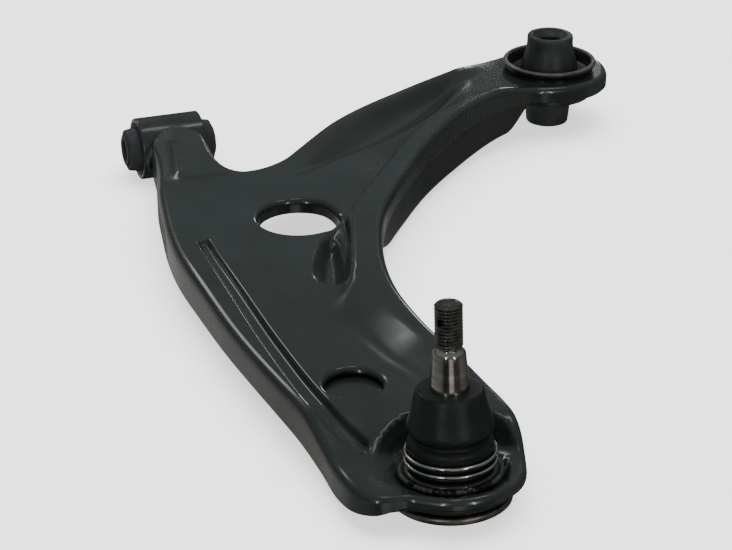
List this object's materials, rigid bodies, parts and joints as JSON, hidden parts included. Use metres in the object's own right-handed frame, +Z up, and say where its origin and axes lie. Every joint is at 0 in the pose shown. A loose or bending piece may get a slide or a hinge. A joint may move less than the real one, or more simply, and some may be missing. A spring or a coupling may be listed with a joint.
{
  "type": "suspension control arm",
  "caption": "Pressed-steel L-shaped lower control arm with a horizontal front bush, a vertical rear bush and an outboard ball joint whose threaded stud points up.",
  "frame": {"origin": "centre of the bounding box at the bottom, on the plane the arm rests on", "axes": "+X from the front bush to the rear bush along the front bush axis, +Y inboard from the ball joint to the bushes, +Z up along the rear bush axis"},
  "size_m": [0.3132, 0.4416, 0.0912],
  "materials": {
    "black_paint": "gloss",
    "turned_steel": "turned",
    "bare_steel": "satin",
    "can_steel": "dark satin",
    "rubber": "matte",
    "spring_wire": "bright",
    "seat_polymer": "matte",
    "weld_bead": "painted over"
  },
  "bodies": {
    "arm": {"upper_shell": "black_paint", "lower_shell": "black_paint", "front_eye": "black_paint", "front_bush_can": "can_steel", "front_bush_rubber": "rubber", "rear_can": "can_steel", "rear_rubber": "rubber", "base_cap": "bare_steel", "ball_housing": "black_paint", "seat_upper": "seat_polymer", "seat_lower": "seat_polymer", "dust_boot": "rubber", "boot_clip_upper": "spring_wire", "boot_clip_lower": "spring_wire", "housing_weld": "weld_bead", "rear_can_weld": "weld_bead", "eye_weld": "weld_bead", "flank_seam_weld": "weld_bead"},
    "front_sleeve": {"front_inner_sleeve": "bare_steel"},
    "rear_centre": {"rear_core": "rubber"},
    "boot_collar": {"boot_spring_ring": "spring_wire"},
    "stud": {"ball_stud": "turned_steel"}
  },
  "joints": [
    {"name": "front_bush_twist", "type": "hinge", "parent": "arm", "child": "front_sleeve", "pos_m": [-0.11765, 0.18593, 0.0175], "axis": [1, 0, 0], "range_deg": [-25, 25], "stiffness_Nm_per_rad": 0.5},
    {"name": "rear_bush_tilt", "type": "hinge", "parent": "arm", "child": "rear_centre", "pos_m": [0.12085, 0.18793, 0.028], "axis": [1, 0, 0], "range_deg": [-8, 8], "stiffness_Nm_per_rad": 0.5, "deforming": ["rear_rubber"]},
    {"name": "stud_swing", "type": "hinge", "parent": "arm", "child": "boot_collar", "pos_m": [-0.09465, -0.19035, 0.01621], "axis": [1, 0, 0], "range_deg": [-20, 20], "deforming": ["dust_boot"]},
    {"name": "stud_spin", "type": "hinge", "parent": "boot_collar", "child": "stud", "pos_m": [-0.09465, -0.19035, 0.01621], "axis": [0, 0.0872, 0.9962], "continuous": true}
  ]
}
